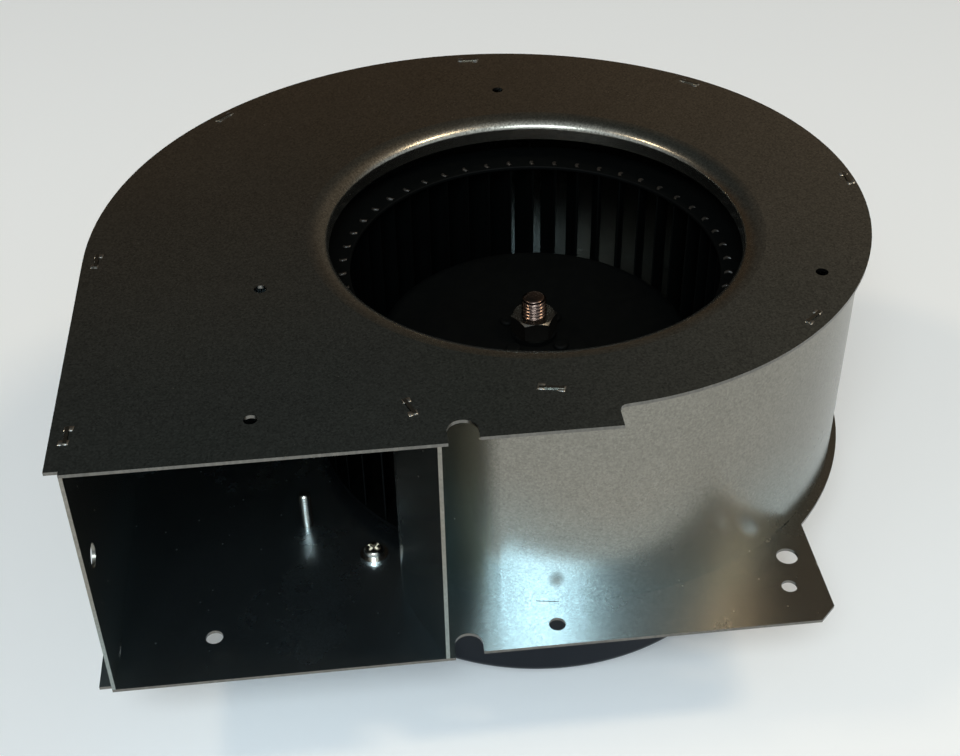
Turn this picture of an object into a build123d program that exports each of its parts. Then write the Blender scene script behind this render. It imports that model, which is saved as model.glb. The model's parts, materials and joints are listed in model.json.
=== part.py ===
# Combustion fan of a gas boiler: a centrifugal blower in a folded sheet-metal scroll, driven by
# an induction motor that hangs under the scroll in a round cup and reaches up into the wheel.
# Millimetres. +Z runs along the shaft towards the inlet, +X along the front edge of the outlet,
# +Y to the back. The origin is the centre of the motor cup's underside, on the shaft axis.
from build123d import *
from math import atan2, cos, degrees, radians, sqrt, tan
import os

# ---------------------------------------------------------------- housing
SHEET = 1.0                    # thickness of all the housing's sheet
COVER_HEIGHT = 40.0            # motor cup, from its underside to the motor plate
INNER_HEIGHT = 78.6            # clear height of the scroll and of the outlet

MOUTH_LEFT = 130.5             # outlet's left flow face, left of the axis
MOUTH_WIDTH = 92.0             # clear width at the outlet's front edge
THROAT_WIDTH = 81.6            # clear width behind the flared front
MOUTH_FRONT = 100.5            # outlet's front edge, in front of the axis
FLARE_ANGLE = 22.0             # lean of the right wall's flared front
FLARE_RADIUS = 10.0            # bend between the flare and the straight wall
TONGUE_RADIUS = 3.0            # fold where the scroll turns back into the outlet wall

SCROLL_START = -1.6            # where the left wall starts to curve, along Y
SCROLL_BENDS = ((111.5, 65.0), (125.4, 65.0), (93.0, 157.4))   # (radius, degrees), from the outlet
TONGUE_BEND = 60.0             # last, tighter bend before the tongue

PLATE_OVERHANG = 3.7           # plates past the left wall
PLATE_START = -5.8             # where the plates' left edge starts to curve
PLATE_MARGINS = (10.7, -1.6, 8.2)   # plate edge's bend radii minus the wall's
PLATE_SETBACK = 1.4            # plates' front edge behind the outlet's lip
STEP_X = 9.1                   # inlet plate's straight front ends here
STEP_FILLET = 2.5
NOTCH_X = -31.65               # round-bottomed notch beside the outlet, in both plates
NOTCH_RADIUS = 4.1
NOTCH_DEPTH = 7.3              # from the plates' front edge to the notch's end

EAR_RIGHT = 75.6               # motor plate's fixing ear
EAR_CORNER = 5.0
EAR_TOP = -58.0
EAR_HOLE = (67.5, -72.7, 3.25)        # x, y, radius
EAR_SMALL_HOLE = (64.8, -84.9, 2.35)
FRONT_HOLE = (-5.5, -91.4, 2.45)
FLOOR_HOLE = (-103.9, -84.4, 2.5)

INLET_BEND_RADIUS = 69.6       # where the inlet plate starts to turn down
INLET_RADIUS = 63.2            # throat of the bellmouth
INLET_BEND_DEPTH = 3.2         # the bend is an oval one, wider than it is deep
INLET_NECK = 3.6               # straight neck below the bend
RING_HOLE_RADIUS = 1.85        # fixing holes round the inlet
RING_HOLE_PITCH = 87.0         # their distance from the axis
RING_HOLE_ANGLES = (-162.35, 90.75, -26.3)
CORNER_HOLE = (-84.9, -85.0, 1.85)

SIDE_HOLE_RADIUS = 3.5         # sensing hole in the outlet's left wall
SIDE_HOLE_SETBACK = 10.8
SIDE_HOLE_HEIGHT = 41.4        # above the outlet's floor

TAB_LENGTH = 6.7               # wall tabs that are staked in the plates' slots
TAB_PROUD = 0.3
TAB_CLEARANCE = 0.15
TAB_STATIONS = (15.0, 95.0, 190.0, 285.0, 367.0, 449.0, 530.0, 612.0)   # along the wall
MOUTH_TAB_SETBACK = 15.6       # tab on the outlet's right wall

# ---------------------------------------------------------------- motor
SHAFT_RADIUS = 4.0
SHAFT_BOTTOM = 6.5
SHAFT_PROUD = 6.8              # free end above the wheel's nut
SHAFT_DOME = 1.6               # rounding of the free end

BEARING_RADIUS = 11.0
BEARING_WIDTH = 7.0
BALL_PITCH = 7.5
BALL_RADIUS = 1.9
BALL_COUNT = 7
RACE_CLEARANCE = 0.15
OUTER_SHOULDER = 9.3
INNER_SHOULDER = 5.7
CAGE_WALL = 1.0
CAGE_WIDTH = 5.0

BELL_RADIUS = 44.5             # both end bells
BELL_WALL = 3.0
BELL_FLANGE_RADIUS = 58.0
BELL_BOTTOM = 4.0
BELL_HEIGHT_IN_WHEEL = 30.0    # above the motor plate's upper face
BELL_BOSS_RADIUS = 14.5
BELL_STEP = 3.0                # ledge that the stator is clamped against
SHAFT_HOLE_RADIUS = 6.8
GASKET = 1.0
MOTOR_OPENING_GAP = 0.5

STATOR_LENGTH = 26.0
STATOR_BOTTOM = 28.0
STATOR_SLOTS = 12
SLOT_WIDTH = 6.0
SLOT_INNER = 27.6
SLOT_OUTER = 36.0
SLOT_OPENING = 2.2
WINDING_GAP = 0.4
WINDING_INNER = 27.8
WINDING_OUTER = 37.0
WINDING_HEIGHT = 7.0
ROTOR_RADIUS = 25.0
AIR_GAP = 0.4
ROTOR_BARS = 20
ROTOR_BAR_RADIUS = 1.6
END_RING_INNER = 17.0
END_RING_HEIGHT = 4.0

MOTOR_SCREW_PITCH = 52.0
MOTOR_SCREW_RADIUS = 2.0
MOTOR_SCREW_HEAD = (3.5, 2.2)  # radius, height
MOTOR_NUT = (7.0, 3.2)         # across flats, height

COVER_RADIUS = 74.5            # motor cup
COVER_WALL = 1.2
COVER_CORNER = 3.0
LUG_WIDTH = 16.0
LUG_REACH = 87.0
COVER_SCREW_PITCH = 80.0
COVER_SCREW_ANGLES = (45.0, 135.0, 225.0, 315.0)
COVER_SCREW_RADIUS = 2.4
COVER_SCREW_LENGTH = 8.5
COVER_SCREW_FLANGE = (4.3, 0.8)
COVER_SCREW_HEAD = (3.2, 2.4)
COVER_NUT = (8.0, 4.0)
HOLE_CLEARANCE = 0.3           # screw holes round their screws

EARTH_SCREW = (-76.6, -40.7)   # place in the motor plate
EARTH_SCREW_RADIUS = 1.9
EARTH_SCREW_REACH = 13.0       # above the outlet's floor
EARTH_SCREW_HEAD = (7.0, 3.0)
EARTH_TAB = (6.3, 22.0, 0.8)   # width, length, thickness
THREAD_PITCH = 0.7
THREAD_DEPTH = 0.35

GROMMET_HEIGHT = 16.0
GROMMET_RADIUS = 6.0
GROMMET_BORE = 3.5
GROMMET_LIP = 2.5
TERMINAL_BLOCK = (24.0, 12.0)   # width, depth
TERMINAL_BLOCK_Y = 55.0        # its inner face
TERMINAL_PITCH = 7.0
TERMINAL_SCREW = (1.9, 3.0)    # radius, height; it clamps the lead from above
TERMINAL_RIM = 0.8             # block above its screws
TERMINAL_WIRE_GAP = 0.4        # wire hole round the lead
LEAD_RADIUS = 0.9

# ---------------------------------------------------------------- wheel
WHEEL_RADIUS = 71.0
BLADE_INNER = 58.0
BLADE_COUNT = 48
BLADE_THICKNESS = 0.5
BLADE_SWEEP = 5.0              # degrees that the tip leads the root
BLADE_BULGE = 1.8
WHEEL_FLOOR_GAP = 4.0          # back plate's rim above the motor plate
BLADE_HEIGHT = 59.5
BAND = 0.6                     # strip edges that the blades are pressed from
FRONT_RING = 1.0
WHEEL_SHEET = 1.0
DISH_TOP_RADIUS = 50.0
DISH_FOOT_RADIUS = 54.0
DISH_BEND = 4.0
HUB_GAP = 1.0                  # hub above the upper bell
HUB_RADIUS = 14.0
HUB_HEIGHT = 4.8
SPACER_RADIUS = 5.6
RIVET_PITCH = 10.8
RIVET_RADIUS = 1.5
RIVET_HEAD = (2.5, 1.3)
RIVET_COUNT = 4
LOCK_WASHER = (7.3, 1.6)       # outer radius, thickness
LOCK_WASHER_SPLIT = 1.2
WHEEL_NUT = (13.0, 6.5)        # across flats, height

# ---------------------------------------------------------------- levels that follow from these
PLATE_LOW = COVER_HEIGHT
FLOOR = PLATE_LOW + SHEET
ROOF = FLOOR + INNER_HEIGHT
TOP = ROOF + SHEET
FRONT_Y = -MOUTH_FRONT
PLATE_FRONT_Y = FRONT_Y + PLATE_SETBACK
LEFT_X = -MOUTH_LEFT
THROAT_X = LEFT_X + THROAT_WIDTH
MOUTH_RIGHT_X = LEFT_X + MOUTH_WIDTH
STATOR_TOP = STATOR_BOTTOM + STATOR_LENGTH
STATOR_RADIUS = BELL_RADIUS - BELL_WALL
LEAD_LEVEL = STATOR_BOTTOM - WINDING_GAP - WINDING_HEIGHT / 2
TERMINAL_SCREW_LOW = LEAD_LEVEL + LEAD_RADIUS
TERMINAL_TOP = TERMINAL_SCREW_LOW + TERMINAL_SCREW[1] + TERMINAL_RIM
BELL_TOP = FLOOR + BELL_HEIGHT_IN_WHEEL
BELL_FLANGE_TOP = PLATE_LOW - GASKET
BELL_SPLIT = BELL_FLANGE_TOP - BELL_WALL
BELL_FLANGE_LOW = BELL_SPLIT - BELL_WALL
UPPER_BEARING_LOW = BELL_TOP - BELL_WALL - 1.0 - BEARING_WIDTH
LOWER_BEARING_LOW = BELL_BOTTOM + 5.0
HUB_LOW = BELL_TOP + HUB_GAP
DISH_LOW = HUB_LOW + HUB_HEIGHT
DISH_TOP = DISH_LOW + WHEEL_SHEET
NUT_LOW = DISH_TOP + LOCK_WASHER[1]
SHAFT_TOP = NUT_LOW + WHEEL_NUT[1] + SHAFT_PROUD
WHEEL_LOW = FLOOR + WHEEL_FLOOR_GAP
BLADE_LOW = WHEEL_LOW + WHEEL_SHEET
BLADE_TOP = BLADE_LOW + BLADE_HEIGHT


# ---------------------------------------------------------------- shared shapes
def disc(radius, low, high, x=0.0, y=0.0):
    """An upright cylinder between two levels."""
    return extrude(Plane.XY.offset(low) * Pos(x, y) * Circle(radius), amount=high - low)


def ring(outer, inner, low, high):
    """A plain ring round the shaft axis."""
    return extrude(Plane.XY.offset(low) * (Circle(outer) - Circle(inner)), amount=high - low)


def turned(points):
    """A solid turned round the shaft axis from (radius, level) corners."""
    profile = make_face(Polyline(*points, close=True))
    return revolve(Plane.XZ * profile, axis=Axis.Z)


def block(x_low, x_high, y_low, y_high, z_low, z_high):
    """A box between two corners."""
    size = (x_high - x_low, y_high - y_low, z_high - z_low)
    centre = ((x_high + x_low) / 2, (y_high + y_low) / 2, (z_high + z_low) / 2)
    return Pos(*centre) * Box(*size)


def around(shape, pitch, angles):
    """Copies of a shape made on the axis, moved out to a pitch radius at each angle."""
    return [Rot(0, 0, angle) * Pos(pitch, 0, 0) * shape for angle in angles]


def hex_nut(flats, height, bore, low):
    """A hexagon nut with its corners turned down at both faces."""
    corner = flats / sqrt(3)
    blank = extrude(Plane.XY.offset(low) * (RegularPolygon(corner, 6) - Circle(bore)), amount=height)
    drop = (corner - flats / 2) * tan(radians(30))
    tamed = turned([
        (0, low), (flats / 2, low), (corner + 0.01, low + drop),
        (corner + 0.01, low + height - drop), (flats / 2, low + height), (0, low + height),
    ])
    return blank & tamed


def pan_screw(radius, head, length, seat, recess=0.0, flange=None):
    """A pan-head screw whose head sits on a level and whose shank hangs below it."""
    head_radius, head_height = head
    head_low = seat
    shape = disc(radius, seat - length, seat + 0.2)
    if flange:
        shape += disc(flange[0], seat, seat + flange[1])
        head_low += flange[1]
    crown = disc(head_radius, head_low, head_low + head_height)
    crown = fillet(crown.edges().group_by(Axis.Z)[-1], head_height * 0.6)
    shape += crown
    if recess:
        depth = head_height * 0.6
        top = head_low + head_height
        for angle in (0, 90):
            shape -= Pos(0, 0, top - depth / 2) * Rot(0, 0, angle) * Box(recess, head_radius * 0.32, depth)
    return shape


def threaded(radius, low, high, pitch, depth):
    """A rod with ring grooves for its thread."""
    count = int((high - low) / pitch)
    points = [(0, low), (radius, low)]
    for turn in range(count):
        start = low + turn * pitch
        points.append((radius, start + pitch * 0.15))
        points.append((radius - depth, start + pitch * 0.5))
        points.append((radius, start + pitch * 0.85))
    points.append((radius, low + count * pitch))
    points.append((radius - depth, high))
    points.append((0, high))
    return turned(points)


# ---------------------------------------------------------------- scroll wall
def bend_chain(start, bends):
    """Centres and start angles of bends that run tangent to each other from a heading of +Y."""
    point = Vector(*start)
    angle = 180.0
    chain = []
    for radius, sweep in bends:
        arm = Vector(radius, 0).rotate(Axis.Z, angle)
        centre = point - arm
        chain.append((centre, radius, angle, sweep))
        angle -= sweep
        point = centre + Vector(radius, 0).rotate(Axis.Z, angle)
    return chain, point, angle


def tongue():
    """The last bend's centre and start angle, and the tongue fold's centre and start angle."""
    chain, point, angle = bend_chain((LEFT_X, SCROLL_START), SCROLL_BENDS)
    centre = point - Vector(TONGUE_BEND, 0).rotate(Axis.Z, angle)
    fold_x = THROAT_X + TONGUE_RADIUS
    reach = TONGUE_BEND + TONGUE_RADIUS
    fold_y = centre.Y - sqrt(reach ** 2 - (fold_x - centre.X) ** 2)
    fold = Vector(fold_x, fold_y)
    back = degrees(atan2(centre.Y - fold_y, centre.X - fold_x))
    return centre, angle, fold, back


def strip_edges(offset):
    """The wall's line from the outlet's left edge to its right edge, offset away from the flow."""
    left = LEFT_X - offset
    edges = [Line((left, FRONT_Y), (left, SCROLL_START))]
    chain, _, _ = bend_chain((LEFT_X, SCROLL_START), SCROLL_BENDS)
    for centre, radius, angle, sweep in chain:
        edges.append(CenterArc(centre, radius + offset, angle, -sweep))
    centre, angle, fold, back = tongue()
    sweep = (angle - (back - 180.0)) % 360.0
    edges.append(CenterArc(centre, TONGUE_BEND + offset, angle, -sweep))
    edges.append(CenterArc(fold, TONGUE_RADIUS - offset, back, 180.0 - back))

    lean = radians(FLARE_ANGLE)
    corner_y = FRONT_Y + (MOUTH_RIGHT_X - THROAT_X) / tan(lean)
    setoff = FLARE_RADIUS * tan(lean / 2)
    flare = Vector(THROAT_X + FLARE_RADIUS, corner_y + setoff)
    edges.append(Line((THROAT_X + offset, fold.Y), (THROAT_X + offset, flare.Y)))
    edges.append(CenterArc(flare, FLARE_RADIUS - offset, 180.0, FLARE_ANGLE))
    edges.append(Line(edges[-1] @ 1, (MOUTH_RIGHT_X + offset / cos(lean), FRONT_Y)))
    return edges


def strip_face(near, far):
    """The strip's section between two offsets from its flow face."""
    inside = strip_edges(near)
    outside = strip_edges(far)
    ends = [Line(inside[0] @ 0, outside[0] @ 0), Line(inside[-1] @ 1, outside[-1] @ 1)]
    return make_face(inside + outside + ends)


def tab_boxes(length, low, high):
    """A box at every tab, long enough along the wall and wide enough to take in its thickness."""
    path = Wire(strip_edges(SHEET / 2))
    reach = 4 * SHEET
    places = []
    for station in TAB_STATIONS:
        spot = path.position_at(station, position_mode=PositionMode.LENGTH)
        heading = path.tangent_at(station, position_mode=PositionMode.LENGTH)
        places.append((spot, degrees(atan2(heading.Y, heading.X))))
    lean = radians(FLARE_ANGLE)
    mouth_x = MOUTH_RIGHT_X - MOUTH_TAB_SETBACK * tan(lean) + SHEET / 2
    places.append((Vector(mouth_x, FRONT_Y + MOUTH_TAB_SETBACK), 90.0 + FLARE_ANGLE))
    middle = (low + high) / 2
    return [Pos(spot.X, spot.Y, middle) * Rot(0, 0, heading) * Box(length, reach, high - low)
            for spot, heading in places]


def make_scroll_wall():
    low = PLATE_LOW - TAB_PROUD
    high = TOP + TAB_PROUD
    tall = extrude(Plane.XY.offset(low) * strip_face(0, SHEET), amount=high - low)
    reach = 3 * MOUTH_LEFT
    keep = block(-reach, reach, -reach, reach, FLOOR, ROOF)
    for box in tab_boxes(TAB_LENGTH, low - SHEET, high + SHEET):
        keep += box
    hole = Cylinder(SIDE_HOLE_RADIUS, 10 * SHEET, rotation=(0, 90, 0))
    place = Pos(LEFT_X, FRONT_Y + SIDE_HOLE_SETBACK, FLOOR + SIDE_HOLE_HEIGHT)
    return (tall & keep) - place * hole


# ---------------------------------------------------------------- plates
def plate_face(right, ear=False):
    """Outline shared by both plates: the scroll's edge, with a straight front up to an X place."""
    start = (LEFT_X - SHEET - PLATE_OVERHANG, PLATE_START)
    bends = [(radius + margin, sweep)
             for (radius, sweep), margin in zip(SCROLL_BENDS, PLATE_MARGINS)]
    turned_so_far = bends[0][1] + bends[1][1]
    bends[2] = (bends[2][0], 270.0 - turned_so_far)
    chain, bottom, _ = bend_chain(start, bends)
    edges = [CenterArc(centre, radius, angle, -sweep) for centre, radius, angle, sweep in chain]
    corner = (start[0], bottom.Y)
    edges += [Line((bottom.X, bottom.Y), corner), Line(corner, start)]
    face = make_face(edges)

    depth = EAR_TOP if ear else bottom.Y + SHEET
    front = Polyline((start[0], depth), (start[0], PLATE_FRONT_Y), (right, PLATE_FRONT_Y),
                     (right, depth), close=True)
    band = make_face(front)
    if ear:
        outer = band.vertices().sort_by_distance((right, PLATE_FRONT_Y, 0))[0]
        band = chamfer(outer, EAR_CORNER)
    face += band
    if not ear:
        inner = face.vertices().sort_by_distance((right, bottom.Y, 0))[0]
        face = fillet(inner, STEP_FILLET)

    lip_left = LEFT_X - SHEET
    lip_right = NOTCH_X
    lip = make_face(Polyline((lip_left, PLATE_FRONT_Y + SHEET), (lip_left, FRONT_Y),
                             (lip_right, FRONT_Y), (lip_right, PLATE_FRONT_Y + SHEET), close=True))
    face += lip
    notch_y = PLATE_FRONT_Y + NOTCH_DEPTH - NOTCH_RADIUS
    face -= Pos(NOTCH_X, notch_y) * Circle(NOTCH_RADIUS)
    face -= Pos(NOTCH_X, notch_y - MOUTH_FRONT / 2) * Rectangle(2 * NOTCH_RADIUS, MOUTH_FRONT)
    return face


def cut_slots(plate, low, high):
    """Slots for the wall's tabs."""
    wide = strip_face(-TAB_CLEARANCE, SHEET + TAB_CLEARANCE)
    slab = extrude(Plane.XY.offset(low) * wide, amount=high - low)
    for box in tab_boxes(TAB_LENGTH + 2 * TAB_CLEARANCE, low, high):
        plate -= slab & box
    return plate


def make_inlet_plate():
    face = plate_face(STEP_X)
    face -= Circle(INLET_BEND_RADIUS)
    for angle in RING_HOLE_ANGLES:
        face -= Rot(0, 0, angle) * Pos(RING_HOLE_PITCH, 0) * Circle(RING_HOLE_RADIUS)
    face -= Pos(CORNER_HOLE[0], CORNER_HOLE[1]) * Circle(CORNER_HOLE[2])
    plate = extrude(Plane.XY.offset(ROOF) * face, amount=SHEET)
    plate = cut_slots(plate, ROOF - SHEET, TOP + SHEET)

    bend = INLET_BEND_RADIUS - INLET_RADIUS
    depth = INLET_BEND_DEPTH
    centre = (INLET_BEND_RADIUS, TOP - depth)
    lip_low = centre[1] - INLET_NECK
    bore = INLET_RADIUS
    profile = make_face([
        EllipticalCenterArc(centre, bend, depth, 90, arc_size=90),
        Line((bore, centre[1]), (bore, lip_low)),
        Line((bore, lip_low), (bore + SHEET, lip_low)),
        Line((bore + SHEET, lip_low), (bore + SHEET, centre[1])),
        EllipticalCenterArc(centre, bend - SHEET, depth - SHEET, 90, arc_size=90),
        Line((INLET_BEND_RADIUS, ROOF), (INLET_BEND_RADIUS, TOP)),
    ])
    return plate + revolve(Plane.XZ * profile, axis=Axis.Z)


def make_motor_plate():
    face = plate_face(EAR_RIGHT, ear=True)
    face -= Circle(BELL_RADIUS + MOTOR_OPENING_GAP)
    for x, y, radius in (EAR_HOLE, EAR_SMALL_HOLE, FRONT_HOLE, FLOOR_HOLE):
        face -= Pos(x, y) * Circle(radius)
    for hole in around(Circle(COVER_SCREW_RADIUS + HOLE_CLEARANCE), COVER_SCREW_PITCH, COVER_SCREW_ANGLES):
        face -= hole
    for hole in motor_screw_holes():
        face -= hole
    face -= Pos(*EARTH_SCREW) * Circle(EARTH_SCREW_RADIUS)
    plate = extrude(Plane.XY.offset(PLATE_LOW) * face, amount=SHEET)
    return cut_slots(plate, PLATE_LOW - SHEET, FLOOR + SHEET)


# ---------------------------------------------------------------- motor cup and wiring
def make_motor_cover():
    outside = disc(COVER_RADIUS, 0, COVER_HEIGHT)
    outside = fillet(outside.edges().group_by(Axis.Z)[0], COVER_CORNER)
    inside = disc(COVER_RADIUS - COVER_WALL, COVER_WALL, COVER_HEIGHT + 1)
    inside = fillet(inside.edges().group_by(Axis.Z)[0], COVER_CORNER - COVER_WALL)
    cup = outside
    lug_inner = COVER_RADIUS - COVER_WALL
    lug = block(lug_inner, LUG_REACH, -LUG_WIDTH / 2, LUG_WIDTH / 2, COVER_HEIGHT - COVER_WALL, COVER_HEIGHT)
    lug = fillet(lug.edges().filter_by(Axis.Z).group_by(Axis.X)[-1], LUG_WIDTH / 4)
    lug -= disc(COVER_SCREW_RADIUS + HOLE_CLEARANCE, 0, COVER_HEIGHT + 1, x=COVER_SCREW_PITCH)
    for piece in around(lug, 0, COVER_SCREW_ANGLES):
        cup += piece
    cup -= inside
    hole = Cylinder(GROMMET_RADIUS, 4 * COVER_CORNER, rotation=(90, 0, 0))
    return cup - Pos(0, COVER_RADIUS, GROMMET_HEIGHT) * hole


def make_cable_grommet():
    outer_end = COVER_RADIUS + GROMMET_LIP
    inner_end = COVER_RADIUS - COVER_WALL - GROMMET_LIP
    level = Pos(0, 0, GROMMET_HEIGHT) * Rot(-90, 0, 0)
    lip_radius = GROMMET_RADIUS + GROMMET_LIP
    outer = level * disc(lip_radius, inner_end, outer_end) - disc(COVER_RADIUS, 0, COVER_HEIGHT)
    inner = level * disc(lip_radius, inner_end, outer_end) & disc(COVER_RADIUS - COVER_WALL, 0, COVER_HEIGHT)
    body = level * disc(GROMMET_RADIUS, inner_end, outer_end)
    bore = level * disc(GROMMET_BORE, inner_end - 1, outer_end + 1)
    return outer + inner + body - bore


def make_cover_screws():
    screw = pan_screw(COVER_SCREW_RADIUS, COVER_SCREW_HEAD, COVER_SCREW_LENGTH, FLOOR,
                      recess=3.8, flange=COVER_SCREW_FLANGE)
    return Compound(around(screw, COVER_SCREW_PITCH, COVER_SCREW_ANGLES))


def make_cover_nuts():
    low = COVER_HEIGHT - COVER_WALL - COVER_NUT[1]
    nut = hex_nut(COVER_NUT[0], COVER_NUT[1], COVER_SCREW_RADIUS, low)
    return Compound(around(nut, COVER_SCREW_PITCH, COVER_SCREW_ANGLES))


def make_earth_screw():
    seat = PLATE_LOW - EARTH_TAB[2]
    head = extrude(Plane.XY.offset(seat - EARTH_SCREW_HEAD[1])
                   * RegularPolygon(EARTH_SCREW_HEAD[0] / sqrt(3), 6), amount=EARTH_SCREW_HEAD[1])
    shank = disc(EARTH_SCREW_RADIUS, seat, FLOOR)
    tip = threaded(EARTH_SCREW_RADIUS, FLOOR, FLOOR + EARTH_SCREW_REACH, THREAD_PITCH, THREAD_DEPTH)
    return Pos(*EARTH_SCREW) * (head + shank + tip)


def make_earth_tab():
    width, length, thickness = EARTH_TAB
    x, y = EARTH_SCREW
    eye = disc(width * 0.7, PLATE_LOW - thickness, PLATE_LOW, x=x, y=y)
    blade = block(x - length, x, y - width / 2, y + width / 2, PLATE_LOW - thickness, PLATE_LOW)
    blade = chamfer(blade.edges().filter_by(Axis.Z).group_by(Axis.X)[0], width / 5)
    tab = eye + blade
    tab -= disc(0.9, 0, PLATE_LOW + 1, x=x - length * 0.8, y=y)
    return tab - disc(EARTH_SCREW_RADIUS, 0, PLATE_LOW + 1, x=x, y=y)


def terminal_places():
    """X places of the three terminals."""
    return [step * TERMINAL_PITCH for step in (-1, 0, 1)]


def make_terminal_block():
    width, depth = TERMINAL_BLOCK
    near = TERMINAL_BLOCK_Y
    body = block(-width / 2, width / 2, near, near + depth, COVER_WALL, TERMINAL_TOP)
    body = fillet(body.edges().group_by(Axis.Z)[-1], 1.2)
    for x in terminal_places():
        well = disc(TERMINAL_SCREW[0], LEAD_LEVEL, TERMINAL_TOP + 1, x=x, y=near + depth / 2)
        bore = LEAD_RADIUS + TERMINAL_WIRE_GAP
        wire = Pos(x, near + depth / 2, LEAD_LEVEL) * Cylinder(bore, depth * 2, rotation=(90, 0, 0))
        body = body - well - wire
    return body


def make_terminal_screws():
    radius, height = TERMINAL_SCREW
    top = TERMINAL_SCREW_LOW + height
    middle = TERMINAL_BLOCK_Y + TERMINAL_BLOCK[1] / 2
    screws = []
    for x in terminal_places():
        screw = disc(radius, TERMINAL_SCREW_LOW, top, x=x, y=middle)
        slot = Pos(x, middle, top) * Box(2 * radius + 1, 0.6, 1.6)
        screws.append(screw - slot)
    return Compound(screws)


def make_motor_leads():
    """Three leads from the coils' lower heads to their clamping screws."""
    end = TERMINAL_BLOCK_Y + TERMINAL_BLOCK[1] / 2 + TERMINAL_SCREW[0]
    leads = []
    for x in terminal_places():
        start = sqrt(WINDING_OUTER ** 2 - x ** 2)
        middle = Pos(x, (start + end) / 2, LEAD_LEVEL)
        leads.append(middle * Cylinder(LEAD_RADIUS, end - start, rotation=(90, 0, 0)))
    return Compound(leads)


# ---------------------------------------------------------------- motor
def motor_screw_holes():
    return around(Circle(MOTOR_SCREW_RADIUS + HOLE_CLEARANCE), MOTOR_SCREW_PITCH, (0, 90, 180, 270))


def drill_flange(body):
    """Holes for the motor screws through a flange or gasket."""
    for hole in motor_screw_holes():
        body -= extrude(hole, amount=PLATE_LOW + SHEET)
    return body


def make_upper_end_bell():
    roof = BELL_TOP - BELL_WALL
    ledge = STATOR_RADIUS - BELL_STEP
    seat_top = UPPER_BEARING_LOW + BEARING_WIDTH
    relief = OUTER_SHOULDER - 0.1
    bell = turned([
        (BELL_FLANGE_RADIUS, BELL_SPLIT), (BELL_FLANGE_RADIUS, BELL_FLANGE_TOP),
        (BELL_RADIUS, BELL_FLANGE_TOP), (BELL_RADIUS, BELL_TOP), (SHAFT_HOLE_RADIUS, BELL_TOP),
        (SHAFT_HOLE_RADIUS, roof), (relief, roof), (relief, seat_top), (BEARING_RADIUS, seat_top),
        (BEARING_RADIUS, UPPER_BEARING_LOW), (BELL_BOSS_RADIUS, UPPER_BEARING_LOW),
        (BELL_BOSS_RADIUS, roof), (ledge, roof), (ledge, STATOR_TOP), (STATOR_RADIUS, STATOR_TOP),
        (STATOR_RADIUS, BELL_SPLIT),
    ])
    shoulder = bell.edges().filter_by(GeomType.CIRCLE).sort_by(Axis.Z)[-2:]
    bell = fillet(shoulder.sort_by(SortBy.LENGTH)[-1], 2.0)
    return drill_flange(bell)


def make_lower_end_bell():
    floor = BELL_BOTTOM + BELL_WALL
    ledge = STATOR_RADIUS - BELL_STEP
    seat_low = LOWER_BEARING_LOW - 0.5
    seat_top = LOWER_BEARING_LOW + BEARING_WIDTH
    pocket = 8.0
    bell = turned([
        (0, BELL_BOTTOM), (BELL_RADIUS, BELL_BOTTOM), (BELL_RADIUS, BELL_FLANGE_LOW),
        (BELL_FLANGE_RADIUS, BELL_FLANGE_LOW), (BELL_FLANGE_RADIUS, BELL_SPLIT),
        (STATOR_RADIUS, BELL_SPLIT), (STATOR_RADIUS, STATOR_BOTTOM), (ledge, STATOR_BOTTOM),
        (ledge, floor), (BELL_BOSS_RADIUS, floor), (BELL_BOSS_RADIUS, seat_top),
        (BEARING_RADIUS, seat_top), (BEARING_RADIUS, seat_low), (pocket, seat_low),
        (pocket, BELL_BOTTOM + 1.5), (0, BELL_BOTTOM + 1.5),
    ])
    window_height = STATOR_BOTTOM - WINDING_GAP - WINDING_HEIGHT / 2
    half = TERMINAL_PITCH + 3 * LEAD_RADIUS
    bell -= block(-half, half, ledge - 6, BELL_RADIUS + 6, window_height - 2.5, window_height + 2.5)
    return drill_flange(bell)


def make_motor_gasket():
    return drill_flange(ring(BELL_FLANGE_RADIUS, BELL_RADIUS + MOTOR_OPENING_GAP, BELL_FLANGE_TOP, PLATE_LOW))


def make_motor_screws():
    length = FLOOR - BELL_FLANGE_LOW + MOTOR_NUT[1] + 1.0
    screw = pan_screw(MOTOR_SCREW_RADIUS, MOTOR_SCREW_HEAD, length, FLOOR, recess=4.2)
    return Compound(around(screw, MOTOR_SCREW_PITCH, (0, 90, 180, 270)))


def make_motor_nuts():
    nut = hex_nut(MOTOR_NUT[0], MOTOR_NUT[1], MOTOR_SCREW_RADIUS, BELL_FLANGE_LOW - MOTOR_NUT[1])
    return Compound(around(nut, MOTOR_SCREW_PITCH, (0, 90, 180, 270)))


def slot_angles():
    return [360.0 / STATOR_SLOTS * step for step in range(STATOR_SLOTS)]


def make_stator_core():
    bore = ROTOR_RADIUS + AIR_GAP
    face = Circle(STATOR_RADIUS) - Circle(bore)
    slot = Rectangle(SLOT_OUTER - SLOT_INNER, SLOT_WIDTH, align=(Align.MIN, Align.CENTER))
    opening = Rectangle(SLOT_INNER - bore + 2, SLOT_OPENING, align=(Align.MIN, Align.CENTER))
    for cut in around(slot, SLOT_INNER, slot_angles()):
        face -= cut
    for cut in around(opening, bore - 1, slot_angles()):
        face -= cut
    return extrude(Plane.XY.offset(STATOR_BOTTOM) * face, amount=STATOR_LENGTH)


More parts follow.
